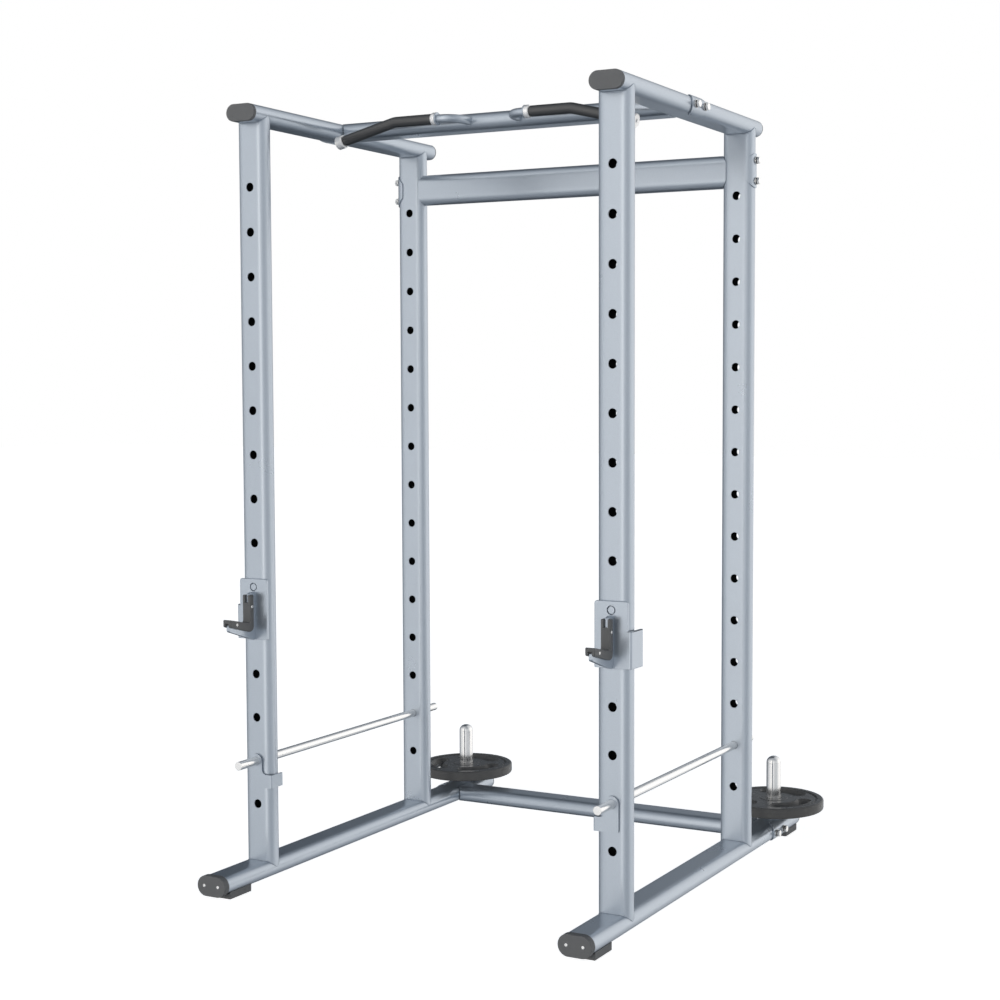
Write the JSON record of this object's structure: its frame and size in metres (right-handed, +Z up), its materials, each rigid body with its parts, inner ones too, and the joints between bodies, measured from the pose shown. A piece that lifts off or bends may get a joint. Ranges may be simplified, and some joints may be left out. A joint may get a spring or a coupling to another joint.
{
  "type": "power cage",
  "caption": "Free-standing power cage of flat-oval steel tube with pull-up handles, barbell hooks, slide-in safety bars and weight plates on storage pegs.",
  "frame": {"origin": "on the floor, under the middle of the whole object's box", "axes": "+Z up, +Y from the front of the cage to its rear, +X to the right of someone who faces its front"},
  "size_m": [1.507, 1.5766, 2.2938],
  "materials": {
    "frame_paint": "satin metallic blue-grey powder coat",
    "chrome": "bright chrome plate",
    "fastener_zinc": "bright zinc plate",
    "aluminium": "machined and clear anodised",
    "cap_plastic": "fine moulded texture, mid grey",
    "liner_plastic": "satin wear plastic, dark grey",
    "grip_rubber": "soft matt sleeve, near black",
    "plate_coating": "matt dark grey coating"
  },
  "bodies": {
    "root": {"left_front_upright": "frame_paint", "left_rear_upright": "frame_paint", "left_bottom_rail": "frame_paint", "left_top_rail": "frame_paint", "left_top_saddle": "frame_paint", "left_rear_saddle": "frame_paint", "left_base_saddle": "frame_paint", "left_handle_tube": "frame_paint", "left_top_bolt_a": "fastener_zinc", "left_top_bolt_b": "fastener_zinc", "left_rear_bolt_a": "fastener_zinc", "left_rear_bolt_b": "fastener_zinc", "left_base_bolt_a": "fastener_zinc", "left_base_bolt_b": "fastener_zinc", "left_bottom_front_cap": "cap_plastic", "left_bottom_rear_cap": "cap_plastic", "left_top_front_cap": "cap_plastic", "left_top_rear_cap": "cap_plastic", "left_front_foot_pad": "cap_plastic", "left_rear_foot_pad": "cap_plastic", "left_storage_peg": "chrome", "left_handle_grip": "grip_rubber", "left_handle_ring": "aluminium", "left_handle_collar": "aluminium", "right_front_upright": "frame_paint", "right_rear_upright": "frame_paint", "right_bottom_rail": "frame_paint", "right_top_rail": "frame_paint", "right_top_saddle": "frame_paint", "right_rear_saddle": "frame_paint", "right_base_saddle": "frame_paint", "right_handle_tube": "frame_paint", "right_top_bolt_a": "fastener_zinc", "right_top_bolt_b": "fastener_zinc", "right_rear_bolt_a": "fastener_zinc", "right_rear_bolt_b": "fastener_zinc", "right_base_bolt_a": "fastener_zinc", "right_base_bolt_b": "fastener_zinc", "right_bottom_front_cap": "cap_plastic", "right_bottom_rear_cap": "cap_plastic", "right_top_front_cap": "cap_plastic", "right_top_rear_cap": "cap_plastic", "right_front_foot_pad": "cap_plastic", "right_rear_foot_pad": "cap_plastic", "right_storage_peg": "chrome", "right_handle_grip": "grip_rubber", "right_handle_ring": "aluminium", "right_handle_collar": "aluminium", "top_crossmember": "frame_paint", "rear_upper_beam": "frame_paint", "rear_base_beam": "frame_paint"},
    "left_hook": {"left_hook_bracket": "frame_paint", "left_hook_liner": "liner_plastic"},
    "left_safety": {"left_safety_bar": "chrome"},
    "left_plate": {"left_weight_plate": "plate_coating"},
    "right_hook": {"right_hook_bracket": "frame_paint", "right_hook_liner": "liner_plastic"},
    "right_safety": {"right_safety_bar": "chrome"},
    "right_plate": {"right_weight_plate": "plate_coating"}
  },
  "joints": [
    {"name": "left_hook_pull", "type": "slide", "parent": "root", "child": "left_hook", "axis": [0, -1, 0], "range_m": [0, 0.08]},
    {"name": "left_safety_pull", "type": "slide", "parent": "root", "child": "left_safety", "axis": [0, -1, 0], "range_m": [0, 1]},
    {"name": "left_plate_lift", "type": "slide", "parent": "root", "child": "left_plate", "axis": [0, 0, 1], "range_m": [0, 0.18]},
    {"name": "right_hook_pull", "type": "slide", "parent": "root", "child": "right_hook", "axis": [0, -1, 0], "range_m": [0, 0.08]},
    {"name": "right_safety_pull", "type": "slide", "parent": "root", "child": "right_safety", "axis": [0, -1, 0], "range_m": [0, 1]},
    {"name": "right_plate_lift", "type": "slide", "parent": "root", "child": "right_plate", "axis": [0, 0, 1], "range_m": [0, 0.18]}
  ]
}
